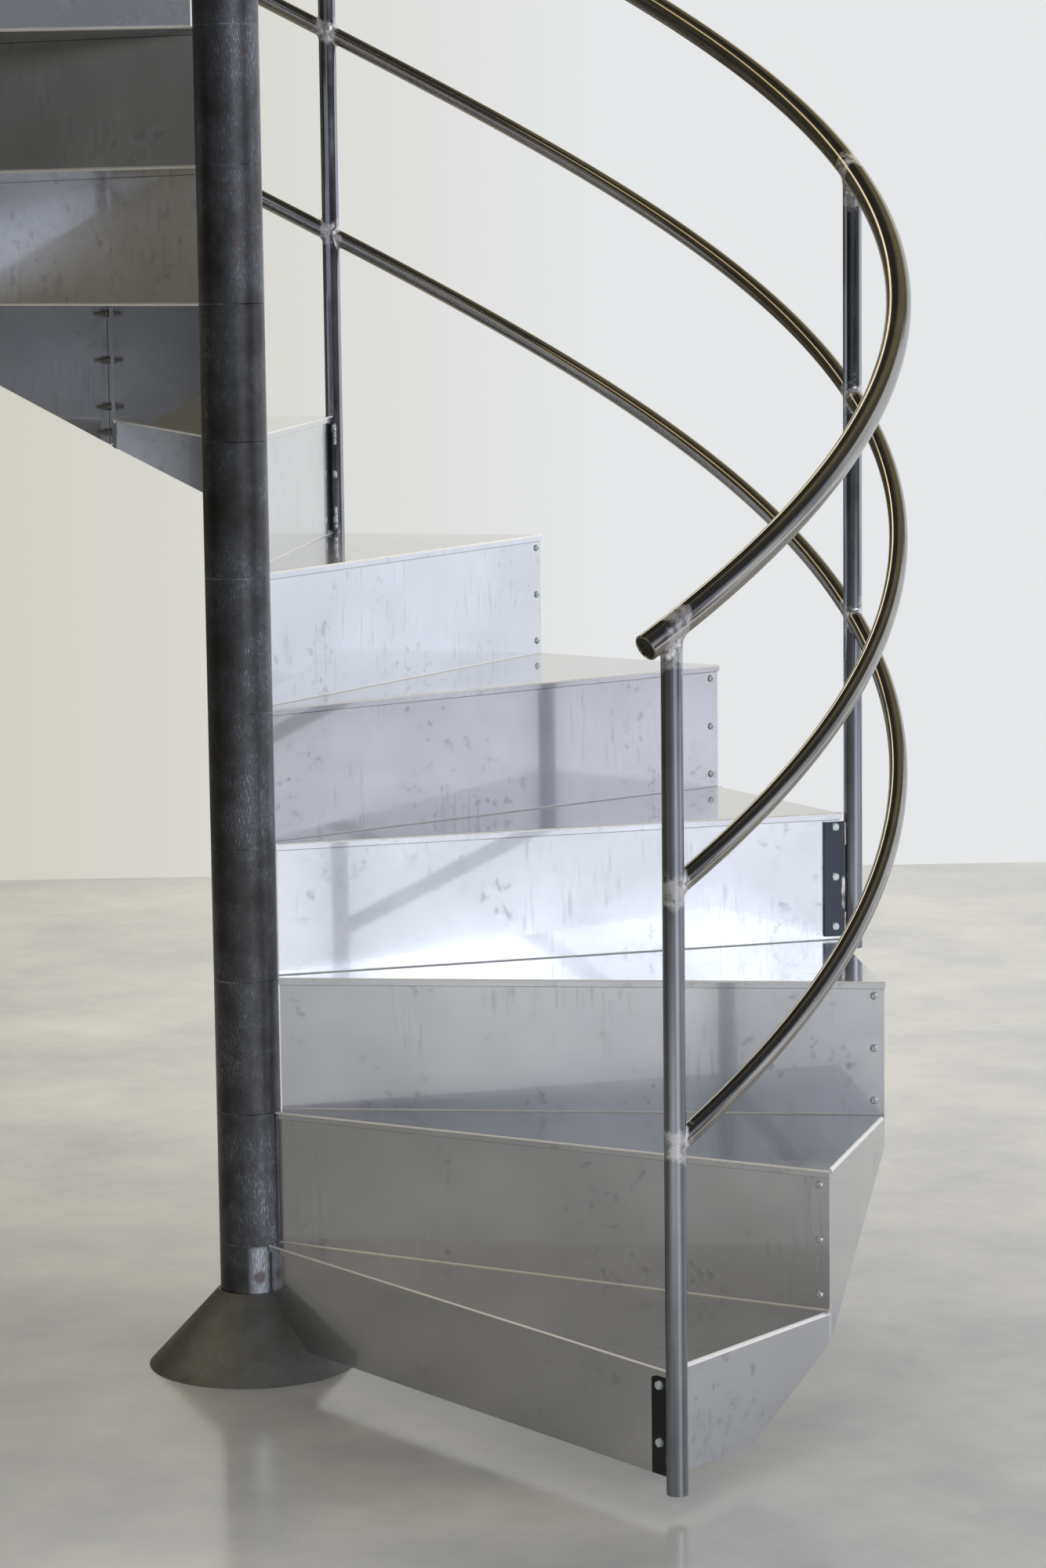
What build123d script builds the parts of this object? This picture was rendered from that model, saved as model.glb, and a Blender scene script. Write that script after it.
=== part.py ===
from build123d import *
from math import asin, cos, degrees, radians, sin, sqrt, tan
import os

# Steel spiral staircase, climbing anticlockwise as seen from above.
# Folded sheet steps are welded to short sleeves that stack on one central pole.
# Millimetres, +Z up. The origin is the pole's axis at floor level.
# The first riser lies along +X and faces -Y, where the climber comes from.

# How the stair climbs
steps_in_a_turn = 16
tread_count = 15
rise = 185.0
first_rise = 174.0
corner_radius = 880.0

# Folded sheet
sheet = 3.0
inside_bend = 2.0
lip_bend = 2.5
relief = 1.0
seam = 0.3
lip_drop = 9.5
skirt_depth = 43.0
flange_width = 28.0
riser_edge_inset = 1.0
riser_hub_gap = 2.5
first_riser_depth = 136.0
first_riser_foot_reach = 131.0
first_riser_cone_gap = 4.0
first_riser_arc_shift = 10.0

# Pole, sleeves and foot
sleeve_diameter = 88.9
sleeve_wall = 3.2
sleeve_ring = 6.0
sleeve_edge = 0.6
pole_diameter = 76.1
pole_wall = 3.6
fit_gap = 0.3
cap_thickness = 6.0
cap_bend = 2.0
base_plate_diameter = 230.0
base_plate_thickness = 10.0
base_bolt_circle = 180.0
base_bolt_hole = 14.0
base_bolt_count = 4
cone_diameter = 292.0
cone_height = 106.0
cone_wall = 1.5
cone_top_gap = 0.8

# Balustrade
treads_between_posts = 3
post_offset = 18.0
post_diameter = 26.9
post_wall = 2.6
post_overhang = 18.0
bracket_width = 32.0
bracket_thickness = 5.0
bracket_drop = 12.5
bracket_height = 167.0
first_bracket_height = 121.0
handrail_diameter = 33.7
handrail_height = 912.0
handrail_overrun = 40.0
rail_diameter = 25.0
mid_rail_height = 598.0
lower_rail_height = 284.0
weld_gap = 0.2

# Sizes that follow from the ones above
step_angle = 360.0 / steps_in_a_turn
chord_tilt = step_angle / 2
chord_length = 2 * corner_radius * sin(radians(chord_tilt))
outside_bend = inside_bend + sheet
middle_bend = inside_bend + sheet / 2
lip_face = seam + sheet
corner_tangent = outside_bend * tan(radians((90 + chord_tilt) / 2))
bend_start = sheet / cos(radians(chord_tilt)) + corner_tangent + relief
bend_end = chord_length + sheet / cos(radians(chord_tilt)) - corner_tangent - relief
sleeve_radius = sleeve_diameter / 2
post_radius = corner_radius + post_offset
riser_start = sleeve_radius + riser_hub_gap
riser_end = corner_radius - riser_edge_inset
lip_start = sleeve_radius + riser_hub_gap / 2
post_count = tread_count // treads_between_posts + 1
bay_angle = treads_between_posts * step_angle
bay_rise = treads_between_posts * rise
post_turn = -degrees(asin(bracket_thickness / 2 / post_radius))

os.makedirs("parts", exist_ok=True)


def save(part, name):
    part.label = name
    export_step(part, f"parts/{name}.step")


def tread_level(n):
    """Height of tread n above the floor."""
    return first_rise + (n - 1) * rise


def turned(angle, height):
    """A place on the pole's axis, turned by an angle and raised to a height."""
    return Location((0, 0, height), (0, 0, 1), angle)


def step_place(n):
    """Step n's own frame: its riser lies along +X there and its tread's top is at zero."""
    return turned((n - 1) * step_angle, tread_level(n))


def upright_plane(x, y, angle):
    """A vertical plane through (x, y): its local X runs along the angle and its local Y is up."""
    along = Vector(1, 0, 0).rotate(Axis.Z, angle)
    return Plane(origin=(x, y, 0), x_dir=along, z_dir=along.cross(Vector(0, 0, 1)))


def chord_x(y, inset=0.0):
    """X of the skirt's outer face in a step's frame, y behind the riser's front, or of a line inset from it."""
    return corner_radius - y * tan(radians(chord_tilt)) - inset / cos(radians(chord_tilt))


def rear(x, y):
    """A point given by its place along the next riser and behind its front."""
    point = Vector(x, y, 0).rotate(Axis.Z, step_angle)
    return (point.X, point.Y)


# One folded step in its own frame, starting with the outer skirt and its two flanges
chord_frame = Location((corner_radius, 0, 0), (0, 0, 1), 90 + chord_tilt)
inward = Vector(-1, 0, 0).rotate(Axis.Z, chord_tilt)
slope = Vector(0, chord_length, 0).rotate(Axis.Z, chord_tilt) + Vector(0, 0, rise)
skirt_foot = -skirt_depth - rise
flange_end = corner_radius - flange_width

with BuildPart() as plain_step:
    with BuildSketch(Plane.XY.offset(skirt_foot)):
        with BuildLine():
            FilletPolyline(
                (flange_end, 1.5 * sheet),
                (chord_x(1.5 * sheet, sheet / 2), 1.5 * sheet),
                rear(chord_x(-sheet / 2, sheet / 2), sheet / 2),
                rear(flange_end, sheet / 2),
                radius=middle_bend,
            )
        trace(line_width=sheet)
    extrude(amount=-skirt_foot - outside_bend)
    # its lower edge follows the pitch of the stair
    pitch_plane = Plane(origin=(corner_radius, 0, skirt_foot), x_dir=slope, z_dir=slope.cross(inward))
    split(bisect_by=pitch_plane, keep=Keep.TOP)
    # bend from the tread down into the skirt
    bend_foot = chord_frame * Location((bend_start, 0, 0))
    with BuildSketch(upright_plane(bend_foot.position.X, bend_foot.position.Y, 180 + chord_tilt)):
        with BuildLine():
            FilletPolyline(
                (sheet / 2, -2 * outside_bend),
                (sheet / 2, -sheet / 2),
                (2 * outside_bend, -sheet / 2),
                radius=middle_bend,
            )
        trace(line_width=sheet)
    extrude(amount=bend_end - bend_start)
    # next riser, folded up at the back
    with BuildSketch(upright_plane(*rear(riser_start, 0), 90 + step_angle)):
        with BuildLine():
            FilletPolyline(
                (-2 * outside_bend, -sheet / 2),
                (sheet / 2, -sheet / 2),
                (sheet / 2, rise - sheet),
                radius=middle_bend,
            )
        trace(line_width=sheet)
    extrude(amount=riser_end - riser_start)
    # tread
    with BuildSketch(Plane.XY.offset(-sheet)):
        with BuildLine():
            Polyline(
                (0, -lip_face),
                (chord_x(-lip_face), -lip_face),
                rear(chord_x(inside_bend), -inside_bend),
                rear(0, -inside_bend),
                close=True,
            )
        make_face()
        Circle(sleeve_radius + fit_gap, mode=Mode.SUBTRACT)
        with Locations(chord_frame * Location((bend_start - relief, 0, 0))):
            Rectangle(
                bend_end - bend_start + 2 * relief,
                outside_bend,
                align=(Align.MIN, Align.MIN),
                mode=Mode.SUBTRACT,
            )
    extrude(amount=sheet)
    # front lip, folded down over the riser below
    with BuildSketch(upright_plane(0, -lip_face, 0)):
        with BuildLine():
            Polyline(
                (lip_start, -lip_drop),
                (chord_x(-lip_face), -lip_drop),
                (chord_x(-lip_face), 0),
                (lip_start, 0),
                close=True,
            )
        make_face()
    extrude(amount=-sheet)
    lip_edge = plain_step.edges().sort_by_distance((corner_radius / 2, -lip_face, 0))[0]
    fillet(lip_edge, lip_bend)

# The lowest step is cut off level with the foot of the first riser
with BuildPart() as cut_step:
    add(plain_step.part)
    split(bisect_by=Plane.XY.offset(-first_riser_depth), keep=Keep.TOP)

# Riser under the lowest step, with its inner foot cut round the cone
with BuildPart() as first_riser:
    with BuildSketch(upright_plane(0, 0, 0)):
        with BuildLine():
            cone_top = first_rise - cone_height
            cone_slope = (cone_diameter / 2 - sleeve_radius) / cone_height
            middle_drop = (cone_top + first_riser_depth) / 2 + first_riser_arc_shift
            middle_reach = sleeve_radius + (middle_drop - cone_top) * cone_slope + 2 * first_riser_cone_gap
            top_line = Polyline(
                (riser_start, -cone_top + first_riser_cone_gap),
                (riser_start, -sheet),
                (riser_end, -sheet),
                (riser_end, -first_riser_depth),
                (first_riser_foot_reach, -first_riser_depth),
            )
            ThreePointArc(top_line @ 1, (middle_reach, -middle_drop), top_line @ 0)
        make_face()
    extrude(amount=-sheet)

for n in range(1, tread_count + 1):
    with BuildPart() as step:
        with Locations(step_place(n)):
            add(cut_step.part if n == 1 else plain_step.part)
    save(step.part, f"step_{n:02d}")

with BuildPart() as placed_riser:
    with Locations(step_place(1)):
        add(first_riser.part)
save(placed_riser.part, "first_riser")


# Sleeves: a tube with a bearing ring at each end, running on the pole
def sleeve(bottom, top):
    with BuildPart() as tube:
        with BuildSketch(Plane.XZ):
            bore = pole_diameter / 2 + fit_gap
            with BuildLine():
                Polyline(
                    (bore, bottom),
                    (sleeve_radius, bottom),
                    (sleeve_radius, top),
                    (bore, top),
                    (bore, top - sleeve_ring),
                    (sleeve_radius - sleeve_wall, top - sleeve_ring),
                    (sleeve_radius - sleeve_wall, bottom + sleeve_ring),
                    (bore, bottom + sleeve_ring),
                    close=True,
                )
            make_face()
        revolve(axis=Axis.Z)
        outer_rims = tube.edges().filter_by(GeomType.CIRCLE).group_by(SortBy.RADIUS)[-1]
        chamfer(outer_rims, sleeve_edge)
    return tube.part


for n in range(1, tread_count + 2):
    bottom = tread_level(n - 1) if n > 1 else base_plate_thickness
    save(sleeve(bottom, tread_level(n)), f"sleeve_{n:02d}")

# Pole, base plate and cap
pole_top = tread_level(tread_count + 1)
with BuildPart() as pole:
    with BuildSketch(Plane.XY.offset(base_plate_thickness)):
        Circle(pole_diameter / 2)
        Circle(pole_diameter / 2 - pole_wall, mode=Mode.SUBTRACT)
    extrude(amount=pole_top - base_plate_thickness)
save(pole.part, "centre_pole")

with BuildPart() as base_plate:
    with BuildSketch():
        Circle(base_plate_diameter / 2)
        with PolarLocations(base_bolt_circle / 2, base_bolt_count):
            Circle(base_bolt_hole / 2, mode=Mode.SUBTRACT)
    extrude(amount=base_plate_thickness)
save(base_plate.part, "base_plate")

with BuildPart() as pole_cap:
    with BuildSketch(Plane.XY.offset(pole_top)):
        Circle(sleeve_radius)
    extrude(amount=cap_thickness)
    fillet(pole_cap.edges().group_by(Axis.Z)[-1], cap_bend)
save(pole_cap.part, "pole_cap")

# Cone of thin sheet that covers the base plate and its bolts
with BuildPart() as base_cone:
    with BuildSketch(Plane.XZ):
        slant = sqrt((cone_diameter / 2 - sleeve_radius) ** 2 + cone_height**2)
        wall_across = cone_wall * slant / cone_height
        rim = sleeve_radius + cone_top_gap
        foot = cone_diameter / 2
        with BuildLine():
            Polyline(
                (foot - wall_across, 0),
                (foot, 0),
                (rim + wall_across, cone_height),
                (rim, cone_height),
                close=True,
            )
        make_face()
    revolve(axis=Axis.Z)
save(base_cone.part, "base_cone")


# Balustrade: helical tubes carried by posts that are bolted to every third riser
def helical_bar(angle, diameter):
    """A round bar along the stair's helix, from +X through an angle, rising as the steps do."""
    with BuildPart() as bar:
        with BuildLine() as path:
            Helix(rise * steps_in_a_turn, rise * angle / step_angle, post_radius)
        with BuildSketch(Plane(origin=path.line @ 0, z_dir=path.line % 0)):
            Circle(diameter / 2)
        sweep(path=path.line, is_frenet=True)
    return bar.part


def post_axis(angle):
    return (post_radius * cos(radians(angle)), post_radius * sin(radians(angle)))


# One bay of rail, its two ends cut to the posts
with BuildPart() as rail_bay:
    add(helical_bar(bay_angle, rail_diameter))
    for angle in (0, bay_angle):
        with Locations(Location((*post_axis(angle), 0))):
            Cylinder(post_diameter / 2 + weld_gap, 4 * bay_rise, mode=Mode.SUBTRACT)

for name, height in (("mid_rail", mid_rail_height), ("lower_rail", lower_rail_height)):
    with BuildPart() as rail:
        for bay in range(post_count - 1):
            with Locations(turned(post_turn + bay * bay_angle, first_rise + bay * bay_rise + height)):
                add(rail_bay.part)
    save(rail.part, name)

# Handrail in one length, running on past the first and last posts
overrun_angle = degrees(handrail_overrun / post_radius)
handrail_angle = (post_count - 1) * bay_angle + 2 * overrun_angle
handrail_start = first_rise + handrail_height - rise * overrun_angle / step_angle
with BuildPart() as handrail:
    with Locations(turned(post_turn - overrun_angle, handrail_start)):
        add(helical_bar(handrail_angle, handrail_diameter))
save(handrail.part, "handrail")


def post(bracket_length, foot_drop):
    """A post with its bracket, in the frame of the step whose riser it is bolted to."""
    x, y = post_axis(post_turn)
    with BuildPart() as upright:
        with BuildSketch(Plane.XY.offset(-foot_drop)):
            with Locations((x, y)):
                Circle(post_diameter / 2)
        extrude(amount=foot_drop + handrail_height)
        bracket_outer = x - post_diameter / 2 + post_wall / 2
        with BuildSketch(upright_plane(0, 0, 0)):
            with Locations((bracket_outer, -bracket_drop)):
                Rectangle(bracket_width, bracket_length, align=(Align.MAX, Align.MAX))
        extrude(amount=bracket_thickness)
        with BuildSketch(Plane.XY.offset(-foot_drop)):
            with Locations((x, y)):
                Circle(post_diameter / 2 - post_wall)
        extrude(amount=foot_drop + handrail_height, mode=Mode.SUBTRACT)
        # the top is cut to the handrail's underside
        along = Vector(0, post_radius * radians(step_angle), rise)
        with Locations(Plane(origin=(x, y, handrail_height), z_dir=along)):
            Cylinder(handrail_diameter / 2 + weld_gap, 4 * post_diameter, mode=Mode.SUBTRACT)
        solids = upright.solids().sort_by(SortBy.VOLUME)
    return solids[-1]


for k in range(post_count):
    n = 1 + k * treads_between_posts
    bracket_length = first_bracket_height if k == 0 else bracket_height
    with BuildPart() as placed_post:
        with Locations(step_place(n)):
            add(post(bracket_length, bracket_drop + bracket_length + post_overhang))
    save(placed_post.part, f"post_{k + 1}")
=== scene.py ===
import math
import random
import bpy
from mathutils import Matrix, Vector


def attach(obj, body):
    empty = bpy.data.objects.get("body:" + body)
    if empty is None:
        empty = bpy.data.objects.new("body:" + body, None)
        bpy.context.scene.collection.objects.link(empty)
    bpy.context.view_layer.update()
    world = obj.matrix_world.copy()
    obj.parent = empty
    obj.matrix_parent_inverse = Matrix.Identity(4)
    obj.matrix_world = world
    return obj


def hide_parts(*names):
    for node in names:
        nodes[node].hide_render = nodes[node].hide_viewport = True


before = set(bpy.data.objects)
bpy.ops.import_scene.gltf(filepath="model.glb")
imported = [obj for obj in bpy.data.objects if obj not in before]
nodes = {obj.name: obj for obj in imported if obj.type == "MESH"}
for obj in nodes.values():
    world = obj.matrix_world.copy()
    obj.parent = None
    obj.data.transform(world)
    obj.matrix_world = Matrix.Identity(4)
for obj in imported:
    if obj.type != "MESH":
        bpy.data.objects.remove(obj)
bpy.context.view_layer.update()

print("stair frame loaded")
mm = 0.001

# how the stair climbs, the same values as in the solids
stair = {
    "stepAngle": math.radians(22.5),
    "rise": 185 * mm,
    "firstRise": 174 * mm,
    "steps": 15,
    "cornerRadius": 880 * mm,
    "sheet": 3 * mm,
    "sleeveRadius": 44.45 * mm,
    "postRadius": 898 * mm,
    "postTube": 13.45 * mm,
    "bracketThickness": 5 * mm,
    "railTube": 12.5 * mm,
    "handrailTube": 16.85 * mm,
    "lowerRail": 284 * mm,
    "midRail": 598 * mm,
    "handrail": 912 * mm,
    "stepsPerBay": 3,
    "posts": 6,
}
stair["postTurn"] = -math.asin(stair["bracketThickness"] / 2 / stair["postRadius"])


def levelOf(n):
    return stair["firstRise"] + (n - 1) * stair["rise"]


def stepFrame(n):
    # a step's own frame: its riser lies along +X and its tread's top is at zero
    return Matrix.Translation((0, 0, levelOf(n))) @ Matrix.Rotation((n - 1) * stair["stepAngle"], 4, "Z")


def roundAxis(radius, angle, height=0):
    return Vector((radius * math.cos(angle), radius * math.sin(angle), height))


def addObject(name, data):
    piece = bpy.data.objects.new(name, data)
    bpy.context.scene.collection.objects.link(piece)
    return piece


# camera, at the photograph's viewing angle
cameraSettings = {
    "azimuth": -35.0,
    "distance": 5.3608,
    "height": 1.517,
    "heading": 140.868,
    "pitch": -7.542,
    "roll": -0.701,
    "lens": 90.1,
    "farthest": 200,
}


def makeCamera(c):
    heading, pitch, roll = (math.radians(c[k]) for k in ("heading", "pitch", "roll"))
    ahead = roundAxis(math.cos(pitch), heading, math.sin(pitch))
    right = Vector((math.sin(heading), -math.cos(heading), 0))
    up = right.cross(ahead)
    rightRolled = right * math.cos(roll) + up * math.sin(roll)
    upRolled = up * math.cos(roll) - right * math.sin(roll)
    data = bpy.data.cameras.new("camera")
    data.lens = c["lens"]
    data.clip_end = c["farthest"]
    camera = addObject("camera", data)
    place = roundAxis(c["distance"], math.radians(c["azimuth"]), c["height"])
    turn = Matrix((rightRolled, upRolled, -ahead)).transposed().to_4x4()
    camera.matrix_world = Matrix.Translation(place) @ turn
    bpy.context.scene.camera = camera


makeCamera(cameraSettings)
print("camera placed")


# small helpers for colours and nodes
def hexLinear(text):
    parts = [int(text[i : i + 2], 16) / 255 for i in (1, 3, 5)]
    return [p / 12.92 if p <= 0.04045 else ((p + 0.055) / 1.055) ** 2.4 for p in parts] + [1.0]


def linkInputs(tree, node, links):
    # a source is an output, or a node that stands for its first output
    for key, source in links.items():
        if isinstance(source, bpy.types.Node):
            source = source.outputs[0]
        tree.links.new(source, node.inputs[key])


def addNode(tree, kind, settings=None, links=None):
    # a tuple sets the inputs after the first, so a span reads: from low, from high, to low, to high
    node = tree.nodes.new("ShaderNode" + kind)
    if isinstance(settings, tuple):
        settings = dict(enumerate(settings, 1))
    for key, value in (settings or {}).items():
        if isinstance(key, str) and key in node.bl_rna.properties:
            setattr(node, key, value)
        else:
            node.inputs[key].default_value = value
    linkInputs(tree, node, links or {})
    return node


def rampStops(ramp, stops):
    elements = ramp.color_ramp.elements
    while len(elements) < len(stops):
        elements.new(0.5)
    for element, (place, colour) in zip(elements, stops):
        element.position = place
        element.color = hexLinear(colour) if isinstance(colour, str) else (colour, colour, colour, 1)
    return ramp


def addPatterns(tree, place, patterns):
    # one noise for each pattern, with one size in metres or three along X, Y and Z
    noises = {}
    for name, p in patterns.items():
        sizes = p["size"] if isinstance(p["size"], tuple) else [p["size"]] * 3
        mapping = {"Scale": [1 / size for size in sizes], "Rotation": p.get("turn", (0, 0, 0))}
        sized = addNode(tree, "Mapping", mapping, {"Vector": place})
        settings = {"Scale": 1.0, "Detail": p["detail"], "Roughness": p["roughness"]}
        noises[name] = addNode(tree, "TexNoise", settings, {"Vector": sized})
    return noises


def addTints(tree, colour, tints):
    # each mask lays its colour over what is there
    for mask, tint in tints:
        colour = addNode(tree, "MixRGB", {"Color2": hexLinear(tint)}, {"Fac": mask, "Color1": colour})
    return colour


def newMaterial(name, settings=None):
    material = bpy.data.materials.new(name)
    material.use_nodes = True
    tree = material.node_tree
    tree.nodes.clear()
    shader = addNode(tree, "BsdfPrincipled", settings)
    addNode(tree, "OutputMaterial", None, {"Surface": shader})
    return material, tree, shader


def pieceValue(tree, name):
    # a number that markPiece leaves on the piece
    return addNode(tree, "Attribute", {"attribute_type": "OBJECT", "attribute_name": name}).outputs["Fac"]


def ownPlace(tree):
    # surface point in the piece's own step frame, and how far that frame is turned
    point = addNode(tree, "TexCoord").outputs["Object"]
    turn = pieceValue(tree, "turn")
    back = addNode(tree, "Math", {"operation": "MULTIPLY", 1: -1.0}, {0: turn})
    turned = addNode(tree, "VectorRotate", {"rotation_type": "Z_AXIS"}, {"Vector": point, "Angle": back})
    drop = addNode(tree, "CombineXYZ", None, {"Z": pieceValue(tree, "level")})
    return addNode(tree, "VectorMath", {"operation": "SUBTRACT"}, {0: turned, 1: drop}), turn


def markPiece(piece, turn, level, seed):
    piece["turn"] = float(turn)
    piece["level"] = float(level)
    piece["seed"] = float(seed)


# nearly all of a noise's values lie between these two
noiseSpan = (0.3, 0.7)

# cold-rolled steel sheet, laser cut, folded and still lightly oiled: a pale blue-grey satin
# under a thin clear film that mirrors crisply at low angles, with clouds, runs of oil,
# finger smudges and a few light scratches
sheetSettings = {
    "tones": [(0.35, "#CCCED3"), (0.65, "#DADCE1")],
    "smudge": "#8E9197",
    "smudgeAmount": 0.5,
    "scratch": "#F2F3F5",
    "edgeTint": "#E8E6E0",
    "roughness": (0.205, 0.275),
    # the rolled grain blurs reflections upwards more than sideways
    "stretch": 0.72,
    "stretchTurn": 0.25,
    "film": 2.1,
    "filmRoughness": (0, 1, 0.035, 0.22),
    "patterns": {
        "clouds": {"size": 240 * mm, "detail": 4, "roughness": 0.6},
        "patches": {"size": 170 * mm, "detail": 2, "roughness": 0.6},
        "runPatches": {"size": 136 * mm, "detail": 1, "roughness": 0.6},
        "smudges": {"size": 16 * mm, "detail": 3, "roughness": 0.55},
        "runs": {"size": (7 * mm, 7 * mm, 60 * mm), "detail": 3, "roughness": 0.6},
        "scratches": {
            "size": (45 * mm, 1.1 * mm, 1.1 * mm),
            "turn": (0.4, 0.5, 0.2),
            "detail": 1,
            "roughness": 0.5,
        },
        "grain": {"size": (90 * mm, 0.9 * mm, 0.9 * mm), "detail": 2, "roughness": 0.6},
        "waves": {"size": 450 * mm, "detail": 1, "roughness": 0.6},
    },
    # a mark shows where its own pattern and its patches are both high
    "marks": {
        "smudges": {"shape": (0.55, 0.72), "patches": "patches", "spread": (0.46, 0.6)},
        "runs": {"shape": (0.52, 0.72), "patches": "runPatches", "spread": (0.52, 0.63, 0, 0.7)},
        "scratches": {"shape": (0.7, 0.74), "patches": "patches", "spread": (0.38, 0.46, 0, 0.5)},
    },
    "waveBump": {"Strength": 1.0, "Distance": 0.3 * mm},
    "grainBump": {"Strength": 0.025, "Distance": 0.03 * mm},
    # folds: how far a face leans, and the inner bend's share just above a tread
    "bend": (0.01, 0.08),
    "innerBend": (0.2 * mm, 1 * mm, 1.0, 0.4),
    "foldRoughness": 0.24,
    "foldMetal": 0.5,
    # a painted highlight: the pale tint laid along each fold
    "foldHighlightTint": "#EEEBE4",
    # a painted shadow: a dark line on the riser just below the next step's lip, where the lip meets the riser
    "seam": "#3E4146",
    "seamShadowBelow": 174.7 * mm,
    "seamShadowWidth": (0.77 * mm, 0.33 * mm, 0, 0.9),
}


def makeSheetSteel(s):
    metal = {
        "Anisotropic": s["stretch"],
        "Anisotropic Rotation": s["stretchTurn"],
        "Specular Tint": hexLinear(s["edgeTint"]),
        "Coat Weight": 1.0,
        "Coat IOR": s["film"],
    }
    material, tree, shader = newMaterial("oiledSheetSteel", metal)
    own, turn = ownPlace(tree)
    seed = pieceValue(tree, "seed")
    shift = addNode(tree, "CombineXYZ", None, {axis: seed for axis in "XYZ"})
    place = addNode(tree, "VectorMath", {"operation": "ADD"}, {0: own, 1: shift})
    noises = addPatterns(tree, place, s["patterns"])
    masks = {}
    for name, m in s["marks"].items():
        shape = addNode(tree, "MapRange", m["shape"], {"Value": noises[name]})
        spread = addNode(tree, "MapRange", m["spread"], {"Value": noises[m["patches"]]})
        shape.interpolation_type = spread.interpolation_type = "SMOOTHSTEP"
        masks[name] = addNode(tree, "Math", {"operation": "MULTIPLY"}, {0: shape, 1: spread})
    marks = addNode(tree, "Math", {"operation": "MAXIMUM"}, {0: masks["smudges"], 1: masks["runs"]})
    softMarks = addNode(tree, "Math", {"operation": "MULTIPLY", 1: s["smudgeAmount"]}, {0: marks})

    up = addNode(tree, "SeparateXYZ", None, {0: own}).outputs["Z"]
    # a painted shadow line just under the next step's lip
    offSeamShadow = addNode(tree, "Math", {"operation": "SUBTRACT", 1: s["seamShadowBelow"]}, {0: up})
    away = addNode(tree, "Math", {"operation": "ABSOLUTE"}, {0: offSeamShadow})
    seam = addNode(tree, "MapRange", s["seamShadowWidth"], {"Value": away})

    # the folds are stretched rough, so they catch a pale line of light; a pale tint laid along them adds a painted
    # highlight
    facing = addNode(tree, "NewGeometry").outputs["Normal"]
    slope = addNode(tree, "SeparateXYZ", None, {0: facing}).outputs["Z"]
    slant = addNode(tree, "Math", {"operation": "ABSOLUTE"}, {0: slope})
    offFlat = addNode(tree, "Math", {"operation": "PINGPONG", 1: 0.5}, {0: slant})
    bend = addNode(tree, "MapRange", s["bend"], {"Value": offFlat})
    outerBend = addNode(tree, "MapRange", s["innerBend"], {"Value": up})
    folded = addNode(tree, "Math", {"operation": "MULTIPLY"}, {0: bend, 1: outerBend})

    base = rampStops(addNode(tree, "ValToRGB", None, {"Fac": noises["clouds"]}), s["tones"])
    tints = (softMarks, s["smudge"]), (masks["scratches"], s["scratch"]), (seam, s["seam"]), (folded, s["foldHighlightTint"])
    rough = addNode(tree, "MapRange", noiseSpan + s["roughness"], {"Value": noises["patches"]})
    foldRough = addNode(tree, "Math", {"operation": "MULTIPLY_ADD", 1: s["foldRoughness"]}, {0: folded, 2: rough})
    filmWear = addNode(tree, "Math", {"operation": "MAXIMUM"}, {0: folded, 1: marks})
    waveBump = addNode(tree, "Bump", s["waveBump"], {"Height": noises["waves"]})
    surface = {
        "Base Color": addTints(tree, base, tints),
        "Metallic": addNode(tree, "MapRange", (0, 1, 1.0, s["foldMetal"]), {"Value": folded}),
        "Roughness": foldRough,
        "Normal": addNode(tree, "Bump", s["grainBump"], {"Height": noises["grain"], "Normal": waveBump}),
        "Coat Roughness": addNode(tree, "MapRange", s["filmRoughness"], {"Value": filmWear}),
        "Coat Normal": waveBump,
        "Tangent": addNode(tree, "VectorRotate", {"rotation_type": "Z_AXIS", "Vector": (1, 0, 0)}, {"Angle": turn}),
    }
    linkInputs(tree, shader, surface)
    return material


# hot-rolled tube with its mill scale left on: dark blue-grey skin with worn light specks,
# a bright line where the sleeves meet, partly worn steel and partly a painted highlight, and a few small rust blooms
columnSettings = {
    "tones": [(0.3, "#42403E"), (0.62, "#5D5F63")],
    "worn": "#D2D8E2",
    "rust": "#7C4630",
    "roughness": (0.4, 0.24),
    "metal": 0.88,
    "patterns": {
        "clouds": {"size": 90 * mm, "detail": 6, "roughness": 0.65},
        "specks": {"size": (0.9 * mm, 0.9 * mm, 7.5 * mm), "detail": 3, "roughness": 0.65},
        "blots": {"size": 8 * mm, "detail": 3, "roughness": 0.55},
        "gathers": {"size": 181.82 * mm, "detail": 1, "roughness": 0.5},
    },
    "speckShape": (0.54, 0.72, 0, 0.6),
    "speckSpread": (0.42, 0.62),
    "blotShape": (0.62, 0.68),
    "blotSpread": (0.58, 0.66, 0, 1.0),
    "jointWearAndSheen": (0.96 * mm, 0.36 * mm, 0, 0.6),
    "speckBump": {"Strength": 0.12, "Distance": 0.08 * mm},
    # the ground strip on the lowest sleeve: its middle and half width in radians, its top and its streaks
    "groundTurn": -0.36,
    "groundWidth": (0.41, 0.21, 0, 0.8),
    "groundTop": (173 * mm, 169 * mm),
    "groundStreaks": (0.36, 0.6, 0.25, 1),
    "heatMark": (0.0415, -0.0165, 0.129),
    "heatEdge": (6 * mm, 10 * mm, 0.3, 1),
    "heatBrown": (11 * mm, 7 * mm, 0, 0.25),
}
# the cone is rolled from thin hot-rolled sheet: duller and browner, without joints
coneSettings = {
    **columnSettings,
    "tones": [(0.3, "#494743"), (0.62, "#5C5C59")],
    "worn": "#9A9C9E",
    "roughness": (0.52, 0.36),
    "metal": 0.5,
    "blotSpread": (0.58, 0.66, 0, 0.3),
    "jointWearAndSheen": (0, 1, 0.0, 0.0),
    "groundWidth": (0, 1, 0.0, 0.0),
}


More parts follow.
